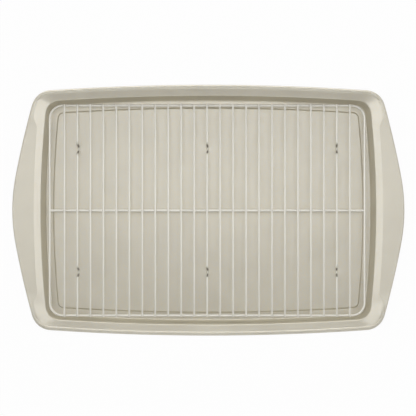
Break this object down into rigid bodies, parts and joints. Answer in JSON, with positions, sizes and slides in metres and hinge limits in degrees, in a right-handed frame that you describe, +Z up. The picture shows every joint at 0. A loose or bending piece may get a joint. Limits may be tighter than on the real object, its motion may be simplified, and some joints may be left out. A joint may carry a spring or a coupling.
{
  "type": "sheet pan with rack",
  "caption": "Shallow rectangular baking pan with bowed sides, a curled edge and a flat wing handle at each end, holding a loose wire cooling rack on bent feet.",
  "frame": {"origin": "middle of the pan, on the surface that it stands on", "axes": "+X along the pan to its right handle, +Y across it to its back side, +Z up"},
  "size_m": [0.4696, 0.3002, 0.0239],
  "materials": {
    "coating": "satin champagne baked coating",
    "plating": "bright plated wire"
  },
  "bodies": {
    "pan": {"pan": "coating"},
    "rack": {"rack_frame": "plating", "rack_bar": "plating", "cross_wire_01": "plating", "foot_wire_02": "plating", "cross_wire_03": "plating", "cross_wire_04": "plating", "cross_wire_05": "plating", "cross_wire_06": "plating", "cross_wire_07": "plating", "cross_wire_08": "plating", "cross_wire_09": "plating", "cross_wire_10": "plating", "cross_wire_11": "plating", "foot_wire_12": "plating", "cross_wire_13": "plating", "cross_wire_14": "plating", "cross_wire_15": "plating", "cross_wire_16": "plating", "cross_wire_17": "plating", "cross_wire_18": "plating", "cross_wire_19": "plating", "cross_wire_20": "plating", "cross_wire_21": "plating", "foot_wire_22": "plating", "cross_wire_23": "plating"}
  },
  "joints": [
    {"name": "rack_lift", "type": "slide", "parent": "pan", "child": "rack", "axis": [0, 0, 1], "range_m": [0, 0.06]}
  ]
}
